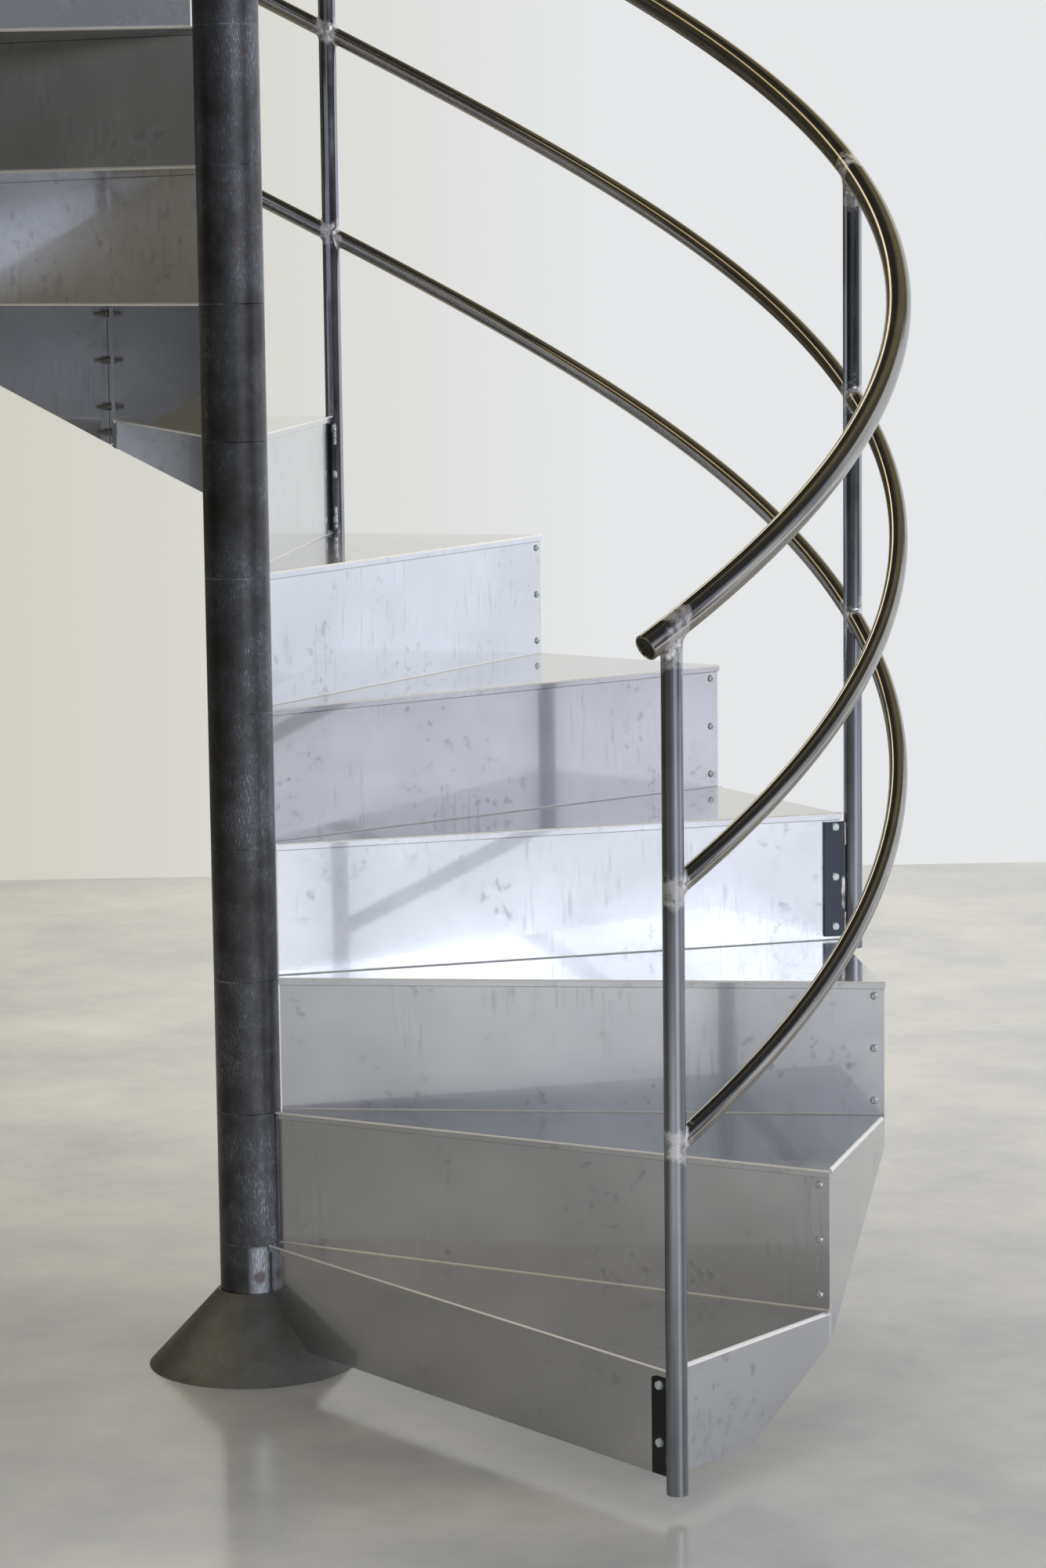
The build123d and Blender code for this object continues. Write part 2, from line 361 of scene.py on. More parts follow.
def makeMillScaleTube(name, s):
    material, tree, shader = newMaterial(name)
    place = addNode(tree, "TexCoord").outputs["Object"]
    noises = addPatterns(tree, place, s["patterns"])
    speckShape = addNode(tree, "MapRange", s["speckShape"], {"Value": noises["specks"]})
    wornHere = addNode(tree, "MapRange", s["speckSpread"], {"Value": noises["clouds"]})
    wornHere.interpolation_type = "SMOOTHSTEP"
    worn = addNode(tree, "Math", {"operation": "MULTIPLY"}, {0: speckShape, 1: wornHere})
    # rust blooms: small blotches that gather in a few places
    blotShape = addNode(tree, "MapRange", s["blotShape"], {"Value": noises["blots"]})
    gathered = addNode(tree, "MapRange", s["blotSpread"], {"Value": noises["gathers"]})
    blooms = addNode(tree, "Math", {"operation": "MULTIPLY"}, {0: blotShape, 1: gathered})

    # a thin bright line where one sleeve stands on the next: worn steel, and a painted highlight in place of the light
    # its edge catches
    parts = addNode(tree, "SeparateXYZ", None, {0: place})
    above = addNode(tree, "Math", {"operation": "SUBTRACT", 1: stair["firstRise"]}, {0: parts.outputs["Z"]})
    offJoint = addNode(tree, "Math", {"operation": "PINGPONG", 1: stair["rise"] / 2}, {0: above})
    jointWearAndSheen = addNode(tree, "MapRange", s["jointWearAndSheen"], {"Value": offJoint})
    jointWearAndSheenHere = addNode(tree, "Math", {"operation": "MULTIPLY"}, {0: jointWearAndSheen, 1: wornHere})

    # the lowest sleeve is ground bright beside the first riser, with a brown heat mark left in it
    azimuth = addNode(tree, "Math", {"operation": "ARCTAN2"}, {0: parts.outputs["Y"], 1: parts.outputs["X"]})
    fromMiddle = addNode(tree, "Math", {"operation": "SUBTRACT", 1: s["groundTurn"]}, {0: azimuth})
    sideways = addNode(tree, "Math", {"operation": "ABSOLUTE"}, {0: fromMiddle})
    fromHeat = addNode(tree, "VectorMath", {"operation": "DISTANCE", 1: s["heatMark"]}, {0: place})
    fromHeat = fromHeat.outputs["Value"]
    ground = addNode(tree, "MapRange", s["groundWidth"], {"Value": sideways})
    limits = ("groundTop", parts.outputs["Z"]), ("groundStreaks", noises["specks"]), ("heatEdge", fromHeat)
    for span, source in limits:
        limit = addNode(tree, "MapRange", s[span], {"Value": source})
        ground = addNode(tree, "Math", {"operation": "MULTIPLY"}, {0: ground, 1: limit})
    burnt = addNode(tree, "MapRange", s["heatBrown"], {"Value": fromHeat})

    # the pale tint covers worn specks, the ground strip, and the painted highlight where the sleeves meet
    wornOrJointSheen = addNode(tree, "Math", {"operation": "MAXIMUM"}, {0: worn, 1: jointWearAndSheenHere})
    bright = addNode(tree, "Math", {"operation": "MAXIMUM"}, {0: wornOrJointSheen, 1: ground})
    rust = addNode(tree, "Math", {"operation": "MAXIMUM"}, {0: blooms, 1: burnt})
    base = rampStops(addNode(tree, "ValToRGB", None, {"Fac": noises["clouds"]}), s["tones"])
    surface = {
        "Base Color": addTints(tree, base, ((bright, s["worn"]), (rust, s["rust"]))),
        "Metallic": addNode(tree, "MapRange", (0, 1, s["metal"], 0.0), {"Value": rust}),
        "Roughness": addNode(tree, "MapRange", noiseSpan + s["roughness"], {"Value": noises["specks"]}),
        "Normal": addNode(tree, "Bump", s["speckBump"], {"Height": noises["specks"]}),
    }
    linkInputs(tree, shader, surface)
    return material


# cold-drawn steel tube, still oily: dark grey-brown with long clean reflections,
# ground silver in a short band on both sides of each weld
railSettings = {
    "tones": [(0.3, "#918D86"), (0.7, "#A09C95")],
    "ground": "#C9C8C6",
    "groundMetal": 0.55,
    "roughness": (0.05, 0.14),
    "groundRoughness": 0.2,
    "groundBump": {"Strength": 0.1, "Distance": 0.1 * mm},
    "patterns": {
        "clouds": {"size": 60 * mm, "detail": 5, "roughness": 0.6},
        "grinding": {"size": 15 * mm, "detail": 3, "roughness": 0.6},
    },
    # ground in patches, fewer of them further from the weld
    "groundReach": (11.9 * mm, 34 * mm, 0.16, -0.3),
    "groundShape": (0.5, 0.7, 0, 0.85),
    "weldHeights": (),
}
# the posts are of the same tube, with flat brackets of black flat bar
postSettings = {
    **railSettings,
    "tones": [(0.3, "#86888E"), (0.7, "#95979D")],
    "roughness": (0.08, 0.17),
    "groundReach": (13.3 * mm, 38 * mm, 0.16, -0.3),
    "weldHeights": (284 * mm, 598 * mm, 880 * mm),
    "bracket": "#3C4047",
    "bracketEdge": 884.4 * mm,
    # ground spots on the bar, most of them near the tube
    "barPatterns": {
        "spots": {"size": (14.286 * mm, 14.286 * mm, 55.56 * mm), "detail": 2, "roughness": 0.5}
    },
    "spotReach": (862 * mm, 884 * mm, -0.25, 0.06),
    "spotShape": (0.55, 0.6, 0, 0.9),
}


def weldGap(tree, parts, s):
    # how far a point of the balustrade is from the nearest weld
    if not s["weldHeights"]:
        # a rail: arc length to the nearest post, some whole bays on so that the angle is positive
        bay = stair["stepsPerBay"] * stair["stepAngle"]
        baysOn = bay * 8 - stair["postTurn"]
        angle = addNode(tree, "Math", {"operation": "ARCTAN2"}, {0: parts.outputs["Y"], 1: parts.outputs["X"]})
        shifted = addNode(tree, "Math", {"operation": "ADD", 1: baysOn}, {0: angle})
        aside = addNode(tree, "Math", {"operation": "PINGPONG", 1: bay / 2}, {0: shifted})
        return addNode(tree, "Math", {"operation": "MULTIPLY", 1: stair["postRadius"]}, {0: aside})
    nearest = None
    for height in s["weldHeights"]:
        off = addNode(tree, "Math", {"operation": "SUBTRACT", 1: height}, {0: parts.outputs["Z"]})
        gap = addNode(tree, "Math", {"operation": "ABSOLUTE"}, {0: off})
        if nearest:
            gap = addNode(tree, "Math", {"operation": "MINIMUM"}, {0: nearest, 1: gap})
        nearest = gap
    return nearest


def makeDrawnTube(name, s):
    material, tree, shader = newMaterial(name)
    place = addNode(tree, "TexCoord").outputs["Object"]
    noises = addPatterns(tree, place, s["patterns"])
    own = ownPlace(tree)[0] if s["weldHeights"] else place
    parts = addNode(tree, "SeparateXYZ", None, {0: own})
    near = addNode(tree, "MapRange", s["groundReach"], {"Value": weldGap(tree, parts, s)})
    patchy = addNode(tree, "Math", {"operation": "ADD"}, {0: noises["grinding"], 1: near})
    ground = addNode(tree, "MapRange", s["groundShape"], {"Value": patchy})
    base = rampStops(addNode(tree, "ValToRGB", None, {"Fac": noises["clouds"]}), s["tones"])
    colour = addTints(tree, base, [(ground, s["ground"])])
    if "bracket" in s:
        # flat bar with its mill scale, ground bright near the welds
        spots = addPatterns(tree, own, s["barPatterns"])["spots"]
        inwards = parts.outputs["X"]
        nearTube = addNode(tree, "MapRange", s["spotReach"], {"Value": inwards})
        spotSum = addNode(tree, "Math", {"operation": "ADD"}, {0: spots, 1: nearTube})
        spotMask = addNode(tree, "MapRange", s["spotShape"], {"Value": spotSum})
        tones = {"Color1": hexLinear(s["bracket"]), "Color2": hexLinear(s["ground"])}
        bar = addNode(tree, "MixRGB", tones, {"Fac": spotMask})
        onBar = addNode(tree, "Math", {"operation": "LESS_THAN", 1: s["bracketEdge"]}, {0: inwards})
        colour = addNode(tree, "MixRGB", None, {"Fac": onBar, "Color1": colour, "Color2": bar})
    rough = addNode(tree, "MapRange", noiseSpan + s["roughness"], {"Value": noises["clouds"]})
    groundRough = addNode(tree, "Math", {"operation": "MULTIPLY_ADD", 1: s["groundRoughness"]}, {0: ground, 2: rough})
    surface = {
        "Base Color": colour,
        # the ground patches scatter light, so they stay pale where the tube round them mirrors the dark
        "Metallic": addNode(tree, "MapRange", (0, 1, 1.0, s["groundMetal"]), {"Value": ground}),
        "Roughness": groundRough,
        "Normal": addNode(tree, "Bump", s["groundBump"], {"Height": ground}),
    }
    linkInputs(tree, shader, surface)
    return material


# zinc-plated steel screws: small bright heads with a cool tint and slight tool marks
zincSettings = {
    "tones": [(0.36, "#ACB5B8"), (0.55, "#DDE4E6")],
    "roughness": (0.4, 0.22),
    "markSize": 1.2 * mm,
    "metal": 0.7,
}
# the nuts and thread ends inside the risers are duller, and painted darker: painted shade for where they sit behind
# the risers
shadedNutSettings = {
    "tones": [(0.36, "#6B6C66"), (0.55, "#A5A69E")],
    "roughness": (0.5, 0.32),
    "markSize": 1.2 * mm,
    "metal": 1.0,
}
# the plug that closes the handrail keeps its dark mill scale
plugSettings = {
    "tones": [(0.36, "#36362C"), (0.55, "#4A4A3E")],
    "roughness": (0.54, 0.36),
    "markSize": 6 * mm,
    "metal": 1.0,
}
# mild steel weld, wire-brushed and partly ground: silver ridges with dark heat stains between them
weldSettings = {
    "tones": [(0.36, "#857E77"), (0.55, "#DCDBDC")],
    "roughness": (0.34, 0.16),
    "markSize": 7 * mm,
    "metal": 0.7,
}


# the marks' relief: how strong it is, and how many times wider than deep they are
markBump, markFlatness = 0.4, 12


def makeSmallMetal(name, s):
    material, tree, shader = newMaterial(name, {"Metallic": s["metal"]})
    place = addNode(tree, "TexCoord").outputs["Object"]
    patterns = {"marks": {"size": s["markSize"], "detail": 4, "roughness": 0.65}}
    marks = addPatterns(tree, place, patterns)["marks"]
    relief = {"Strength": markBump, "Distance": s["markSize"] / markFlatness}
    surface = {
        "Base Color": rampStops(addNode(tree, "ValToRGB", None, {"Fac": marks}), s["tones"]),
        "Roughness": addNode(tree, "MapRange", noiseSpan + s["roughness"], {"Value": marks}),
        "Normal": addNode(tree, "Bump", relief, {"Height": marks}),
    }
    linkInputs(tree, shader, surface)
    return material


sheetSteel = makeSheetSteel(sheetSettings)
millScaleTube = makeMillScaleTube("millScaleTube", columnSettings)
coneSteel = makeMillScaleTube("hotRolledCone", coneSettings)
drawnRail = makeDrawnTube("drawnRailTube", railSettings)
drawnPost = makeDrawnTube("drawnPostTube", postSettings)
zincPlated = makeSmallMetal("zincPlatedScrew", zincSettings)
shadedZincNut = makeSmallMetal("zincPlatedNutInShade", shadedNutSettings)
railPlug = makeSmallMetal("millScalePlug", plugSettings)
brushedWeld = makeSmallMetal("brushedWeld", weldSettings)

# by the first word of a node's name; the column's pieces have none here
slotNames = {
    "step": "step_sheet",
    "first": "step_sheet",
    "post": "post_steel",
    "mid": "rail_steel",
    "lower": "rail_steel",
    "handrail": "rail_steel",
}
finishOf = {
    "step_sheet": sheetSteel,
    "column_steel": millScaleTube,
    "cone_sheet": coneSteel,
    "post_steel": drawnPost,
    "rail_steel": drawnRail,
}
# metres by which the pattern is moved on from one piece to the next
patternShift = {"step": 7.31, "post": 3.17}
for name, piece in nodes.items():
    first = name.split("_")[0]
    slotName = slotNames.get(first, "cone_sheet" if name == "base_cone" else "column_steel")
    piece.data.materials.clear()
    piece.data.materials.append(finishOf[slotName])
    if first in ("step", "first"):
        # the first riser counts as the back of a step below the first one
        n = int(name[-2:]) if first == "step" else 0
        markPiece(piece, (n - 1) * stair["stepAngle"], levelOf(n), n * patternShift["step"])
    elif first == "post":
        n = 1 + (int(name[-1]) - 1) * stair["stepsPerBay"]
        markPiece(piece, (n - 1) * stair["stepAngle"], levelOf(n), n * patternShift["post"])
print("sheet and tube finishes set")


# screws, bolts, nuts and welds, each joined into one mesh
ringSides = 24


def ringPoints(shape, radius, height):
    # points round a circle, or round a hexagon with that distance from its middle to a flat
    points = []
    for i in range(ringSides):
        angle = i * math.tau / ringSides
        reach = radius
        if shape == "hex":
            offFlat = (angle + math.pi / 6) % (math.pi / 3) - math.pi / 6
            reach = radius / math.cos(offFlat)
        points.append(roundAxis(reach, angle, height))
    return points


def addRings(points, faces, place, rings):
    # rings joined one to the next along the piece's own axis, closed at both ends
    first = len(points)
    for ring in rings:
        points.extend(place @ p for p in ringPoints(*ring))
    for r in range(len(rings) - 1):
        a = first + r * ringSides
        b = a + ringSides
        for i in range(ringSides):
            j = (i + 1) % ringSides
            faces.append((a + i, a + j, b + j, b + i))
    faces.append(tuple(range(first + ringSides - 1, first - 1, -1)))
    last = first + (len(rings) - 1) * ringSides
    faces.append(tuple(range(last, last + ringSides)))


def addMesh(name, points, faces, material, crease=32):
    # edges sharper than the crease, in degrees, stay hard
    mesh = bpy.data.meshes.new(name)
    mesh.from_pydata([tuple(p) for p in points], [], faces)
    mesh.materials.append(material)
    mesh.polygons.foreach_set("use_smooth", [True] * len(mesh.polygons))
    mesh.set_sharp_from_angle(angle=math.radians(crease))
    piece = addObject(name, mesh)
    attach(piece, "root")
    return piece


screwSettings = {
    "reach": 865 * mm,
    "bracketReach": 869.5 * mm,
    "drops": (20 * mm, 92.5 * mm, 165 * mm),
    "flangeDrop": 205 * mm,
    "headRadius": 5.25 * mm,
    "headHeight": 3.1 * mm,
    "socketFlat": 2.0 * mm,
    "socketDepth": 2.0 * mm,
    "hexFlat": 5.0 * mm,
    "hexHeight": 4.0 * mm,
    "nutHeight": 5.0 * mm,
    "threadRadius": 3.0 * mm,
    "threadDepth": 0.35 * mm,
    "threadPitch": 1.0 * mm,
    "threadEnd": 11 * mm,
}


def seatedAt(n, x, y, z, facing):
    # the piece's own axis points out of the riser's front (facing 1) or out of its back (facing -1)
    turn = Matrix.Rotation(math.radians(90 * facing), 4, "X")
    return stepFrame(n) @ Matrix.Translation((x, y, z)) @ turn


def buttonHeadRings(s):
    r, h, flat = s["headRadius"], s["headHeight"], s["socketFlat"]
    return [
        ("circle", r, 0),
        ("circle", r, 0.15 * h),
        ("circle", 0.95 * r, 0.45 * h),
        ("circle", 0.84 * r, 0.7 * h),
        ("circle", 0.68 * r, 0.9 * h),
        ("circle", 0.52 * r, h),
        ("hex", flat, 0.98 * h),
        ("hex", flat, h - s["socketDepth"]),
        ("circle", 0.3 * flat, h - 1.2 * s["socketDepth"]),
    ]


def hexHeadRings(s):
    flat, h = s["hexFlat"], s["hexHeight"]
    return [
        ("circle", 1.12 * flat, 0),
        ("circle", 1.12 * flat, 0.08 * h),
        ("hex", flat, 0.1 * h),
        ("hex", flat, 0.86 * h),
        ("circle", 0.95 * flat, h),
        ("circle", 0.9 * flat, h),
        ("circle", 0.6 * flat, 0.96 * h),
    ]


def nutRings(s):
    flat, h, r = s["hexFlat"], s["nutHeight"], s["threadRadius"]
    rings = [
        ("circle", 0.97 * flat, 0),
        ("hex", flat, 0.08 * h),
        ("hex", flat, 0.9 * h),
        ("circle", 0.95 * flat, h),
        ("circle", r, h),
    ]
    turns = int(s["threadEnd"] / s["threadPitch"])
    for i in range(2 * turns):
        crest = r if i % 2 else r - s["threadDepth"]
        rings.append(("circle", crest, h + (i + 1) * s["threadPitch"] / 2))
    return rings


def makeScrews(s):
    heads, headFaces, bolts, boltFaces, nuts, nutFaces = [], [], [], [], [], []
    for n in range(1, stair["steps"] + 2):
        atPost = (n - 1) % stair["stepsPerBay"] == 0
        backOfJoint = stair["sheet"] if n == stair["steps"] + 1 else 2 * stair["sheet"]
        drops = s["drops"][:2] if n == 1 else s["drops"]
        spots = [(s["bracketReach"] if atPost else s["reach"], drop, atPost) for drop in drops]
        if 1 < n <= stair["steps"]:
            # one more through the flange, below the bracket's
            spots.append((s["reach"], s["flangeDrop"], False))
        for x, drop, bolted in spots:
            if bolted:
                front = seatedAt(n, x, -stair["bracketThickness"], -drop, 1)
                addRings(bolts, boltFaces, front, hexHeadRings(s))
            else:
                addRings(heads, headFaces, seatedAt(n, x, 0, -drop, 1), buttonHeadRings(s))
            addRings(nuts, nutFaces, seatedAt(n, x, backOfJoint, -drop, -1), nutRings(s))
    addMesh("riser_screws", heads, headFaces, zincPlated)
    addMesh("bracket_bolts", bolts, boltFaces, zincPlated)
    addMesh("nuts_behind_risers", nuts, nutFaces, shadedZincNut)


makeScrews(screwSettings)
print("screws, bolts and nuts made")

# rails: smooth drawn tubes on the solids' own helix, so that their long reflections run clean
railShape = {
    "ringStep": 12 * mm,
    "around": 44,
    "overrun": 40 * mm,
    "endRound": 0.6 * mm,
    "wall": 2.6 * mm,
    "endSink": 0.5 * mm,
    "plugGap": 0.2 * mm,
    # the last plain ring of a rail stands this many post radii from the post's axis
    "seamClear": 1.6,
}
railSlope = math.atan2(stair["rise"], stair["postRadius"] * stair["stepAngle"])
acrossRail = Vector((1, 0, 0))
alongRail = Vector((0, math.cos(railSlope), math.sin(railSlope)))
overRail = acrossRail.cross(alongRail)


def railPoint(turn, height, tube, angle, shift=0):
    # a point on a rail's skin; turn is counted from the first post
    climb = stair["rise"] * turn / stair["stepAngle"]
    skin = (acrossRail * math.cos(angle) + overRail * math.sin(angle)) * tube + alongRail * shift
    place = Matrix.Rotation(turn + stair["postTurn"], 4, "Z") @ Matrix.Translation((stair["postRadius"], 0, 0))
    return Matrix.Translation((0, 0, levelOf(1) + height + climb)) @ place @ skin


def postFrame(k):
    # a post's own frame: its axis at the origin, +X outwards, z from the tread's top
    lift = Matrix.Translation((0, 0, levelOf(1 + k * stair["stepsPerBay"])))
    turn = k * stair["stepsPerBay"] * stair["stepAngle"] + stair["postTurn"]
    return lift @ Matrix.Rotation(turn, 4, "Z") @ Matrix.Translation((stair["postRadius"], 0, 0))


def railSeam(height, tube, way, count):
    # where a rail's skin meets the post's skin, in the post's own frame
    path = []
    for i in range(count):
        angle = i * math.tau / count
        start = (acrossRail * math.cos(angle) + overRail * math.sin(angle)) * tube
        # along the rail until the post's radius is reached
        a = alongRail.y**2
        b = 2 * start.y * alongRail.y * way
        c = start.x**2 + start.y**2 - stair["postTube"] ** 2
        reach = (-b + math.sqrt(max(b * b - 4 * a * c, 0))) / (2 * a)
        path.append(start + alongRail * way * reach + Vector((0, 0, height)))
    return path


def joinRings(points, faces, rings, closed=False):
    first, count = len(points), len(rings[0])
    for ring in rings:
        points.extend(ring)
    for r in range(len(rings) - 1):
        for i in range(count):
            j = (i + 1) % count
            a = first + r * count
            faces.append((a + i, a + count + i, a + count + j, a + j))
    if closed:
        faces.append(tuple(range(first, first + count)))
        last = first + (len(rings) - 1) * count
        faces.append(tuple(range(last + count - 1, last - 1, -1)))


def makeRails(s):
    count = s["around"]
    angles = [i * math.tau / count for i in range(count)]
    bay = stair["stepsPerBay"] * stair["stepAngle"]
    bays = stair["posts"] - 1
    step = s["ringStep"] * math.cos(railSlope) / stair["postRadius"]
    for name, height in (("mid_rail", stair["midRail"]), ("lower_rail", stair["lowerRail"])):
        points, faces = [], []
        tube = stair["railTube"]
        clear = s["seamClear"] * stair["postTube"] / stair["postRadius"]
        for k in range(bays):
            rings = [[postFrame(k) @ p for p in railSeam(height, tube, 1, count)]]
            steps = round((bay - 2 * clear) / step)
            for r in range(steps + 1):
                turn = k * bay + clear + (bay - 2 * clear) * r / steps
                rings.append([railPoint(turn, height, tube, a) for a in angles])
            rings.append([postFrame(k + 1) @ p for p in railSeam(height, tube, -1, count)])
            joinRings(points, faces, rings)
        piece = addMesh(name + "_tube", points, faces, drawnRail)
        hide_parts(name)
    # the handrail runs past the first and the last post and is closed by a plug set a little in
    tube, height = stair["handrailTube"], stair["handrail"]
    overrun = s["overrun"] / stair["postRadius"]
    start, end = -overrun, bays * bay + overrun
    steps = round((end - start) / step)
    rings = [
        [railPoint(start + (end - start) * r / steps, height, tube, a) for a in angles] for r in range(1, steps)
    ]
    for turn, way in ((start, -1), (end, 1)):
        closing = [
            [railPoint(turn, height, reach, a, -way * sink) for a in angles]
            for reach, sink in (
                (tube, s["endRound"]),
                (tube - s["endRound"], 0),
                (tube - s["wall"], 0),
                (tube - s["wall"] - s["plugGap"], s["endSink"]),
            )
        ]
        rings = rings + closing if way > 0 else closing[::-1] + rings
    points, faces = [], []
    joinRings(points, faces, rings, True)
    piece = addMesh("handrail_tube", points, faces, drawnRail)
    piece.data.materials.append(railPlug)
    for face in piece.data.polygons:
        face.material_index = 1 if len(face.vertices) > 4 else 0  # only the plugs' faces have more corners
    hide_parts("handrail")


makeRails(railShape)
print("rails made")

# welds: ground fillets round the balustrade's joints, and plain beads at the brackets and the treads
weldShape = {
    "railFillet": 6.5 * mm,
    "handrailFillet": 13 * mm,
    # a fillet's width as a share of its reach, and how far two and five waves round it swing
    "filletWidth": (0.85, 0.1, 0.12),
    # how far a fillet's skin stands out: its lumps, and its bulge between them as a share of a lump
    "lumps": 0.35 * mm,
    "bulge": 0.3,
    # how far the handrail's fillet runs down the post, as a share of its width
    "downPost": 1.2,
    "around": 48,
    "across": 7,
    "crease": 60,
    "bracketBead": 2.6 * mm,
    "treadBead": 2.2 * mm,
    "beadSides": 10,
    "ripple": 2.4 * mm,
    "rippleDepth": 0.16,
    "uneven": 0.07,
    "wander": 0.45 * mm,
    # a bead's end: how thick it starts, and within how many rings it fills
    "beadEnd": (0.35, 3),
    "bracketTop": -12.5 * mm,
    # how far below its top a bracket ends, at the first post and at the others
    "bracketDrops": (121 * mm, 167 * mm),
    "bracketRun": 36 * mm,
    "runStep": 0.9 * mm,
    # how deep the bracket's bead sits on the tube, as a share of the tube's radius
    "bracketSeat": 0.985,
    "treadDrop": 3.6 * mm,
    "treadPoints": 30,
    # the part of a step's angle that its bead takes
    "treadSpan": (0.06, 0.94),
}
weldRandom = random.Random(11)


def addBead(points, faces, path, radius, s):
    # a rippled bead along a path, a little uneven as a hand-made weld is
    length, rings = 0, []
    endThick, endRings = s["beadEnd"]
    for i, here in enumerate(path):
        before, after = path[max(i - 1, 0)], path[min(i + 1, len(path) - 1)]
        ahead = (after - before).normalized()
        side = ahead.cross(Vector((0.31, 0.52, 0.79))).normalized()  # any way that no bead follows
        up = side.cross(ahead)
        length += (here - before).length
        wave = abs(math.sin(math.pi * length / s["ripple"]))
        thick = radius * (1 - s["rippleDepth"] + s["rippleDepth"] * wave)
        thick *= weldRandom.uniform(1 - s["uneven"], 1 + s["uneven"])
        thick *= min(1, endThick + min(i, len(path) - 1 - i) / endRings)
        middle = here + Vector([weldRandom.uniform(-0.5, 0.5) for _ in range(3)]) * s["wander"]
        turns = [k * math.tau / s["beadSides"] for k in range(s["beadSides"])]
        rings.append([middle + (side * math.cos(a) + up * math.sin(a)) * thick for a in turns])
    joinRings(points, faces, rings, True)


def addFillet(points, faces, place, seam, feet, reach, s):
    # a hollow fillet: from the post's skin, past the seam, on to the rail's skin, with soft lumps
    count = len(seam)
    phases = [weldRandom.uniform(0, math.tau) for _ in range(4)]
    width, two, five = s["filletWidth"]
    rings = []
    for j in range(s["across"]):
        f = j / (s["across"] - 1)
        ring = []
        for i, corner in enumerate(seam):
            turn = i * math.tau / count
            wide = reach * (width + two * math.sin(2 * turn + phases[0]) + five * math.sin(5 * turn + phases[1]))
            onPost, onRail = feet(corner, wide)
            point = onPost * (1 - f) ** 2 + corner * 2 * f * (1 - f) + onRail * f**2
            outward = (point - corner).normalized() if j not in (0, s["across"] - 1) else Vector()
            lump = math.sin(4 * turn + 5 * f + phases[2]) * math.sin(7 * turn - 3 * f + phases[3])
            ring.append(place @ (point + outward * (s["bulge"] + lump) * s["lumps"]))
        rings.append(ring)
    joinRings(points, faces, rings)


def railFeet(height, way):
    # how a fillet spreads from a rail's seam: round the post's skin, and along the rail
    post = stair["postTube"]
    middleTurn, middleHeight = way * math.pi / 2, height + way * post * math.tan(railSlope)

    def feet(corner, wide):
        turn = math.atan2(corner.y, corner.x)
        aside = (turn - middleTurn + math.pi) % math.tau - math.pi
        away = Vector((aside * post, corner.z - middleHeight)).normalized() * wide
        return roundAxis(post, turn + away.x / post, corner.z + away.y), corner + alongRail * way * wide

    return feet


def handrailSeam(count):
    # round the post's top, on the handrail's underside
    path = []
    for i in range(count):
        corner = roundAxis(stair["postTube"], i * math.tau / count)
        down = math.sqrt(stair["handrailTube"] ** 2 - corner.x**2) / math.cos(railSlope)
        corner.z = stair["handrail"] + corner.y * math.tan(railSlope) - down
        path.append(corner)
    return path


def handrailFeet(corner, wide):
    tube = stair["handrailTube"]
    middle = Vector((0, 0, stair["handrail"]))
    # where the seam is on the unrolled handrail, from the lowest line of its skin
    reach, aside = (corner - middle).dot(alongRail), math.asin(corner.x / tube)
    centre = -tube * math.tan(railSlope)
    away = Vector((reach - centre, aside * tube)).normalized() * wide
    turn = aside + away.y / tube
    skin = (acrossRail * math.sin(turn) - overRail * math.cos(turn)) * tube
    onPost = corner - Vector((0, 0, weldShape["downPost"] * wide))
    return onPost, middle + alongRail * (reach + away.x) + skin


def makeWelds(s):
    points, faces = [], []
    last = stair["posts"] - 1
    for k in range(stair["posts"]):
        here = postFrame(k)
        ways = ([1] if k < last else []) + ([-1] if k > 0 else [])
        for way in ways:
            for height in (stair["lowerRail"], stair["midRail"]):
                seam = railSeam(height, stair["railTube"], way, s["around"])
                addFillet(points, faces, here, seam, railFeet(height, way), s["railFillet"], s)
        addFillet(points, faces, here, handrailSeam(s["around"]), handrailFeet, s["handrailFillet"], s)
        # short runs where the bracket's edge meets the tube, near its top and foot
        top = s["bracketTop"]
        foot = top - s["bracketDrops"][min(k, 1)]
        edge = stair["postTube"] * s["bracketSeat"]
        for start in (top, foot + s["bracketRun"]):
            run = [
                here @ Vector((-edge, -stair["bracketThickness"] / 2, start - i * s["runStep"]))
                for i in range(int(s["bracketRun"] / s["runStep"]))
            ]
            addBead(points, faces, run, s["bracketBead"], s)
    addMesh("balustrade_welds", points, faces, brushedWeld, s["crease"])
    points, faces = [], []
    for n in range(1, stair["steps"] + 1):
        # under each tread, where it is welded to its sleeve
        path = []
        begin, end = s["treadSpan"]
        for i in range(s["treadPoints"]):
            share = begin + (end - begin) * i / (s["treadPoints"] - 1)
            angle = (n - 1 + share) * stair["stepAngle"]
            path.append(roundAxis(stair["sleeveRadius"], angle, levelOf(n) - s["treadDrop"]))
        addBead(points, faces, path, s["treadBead"], s)
    addMesh("tread_welds", points, faces, brushedWeld, s["crease"])


makeWelds(weldShape)
print("welds made")

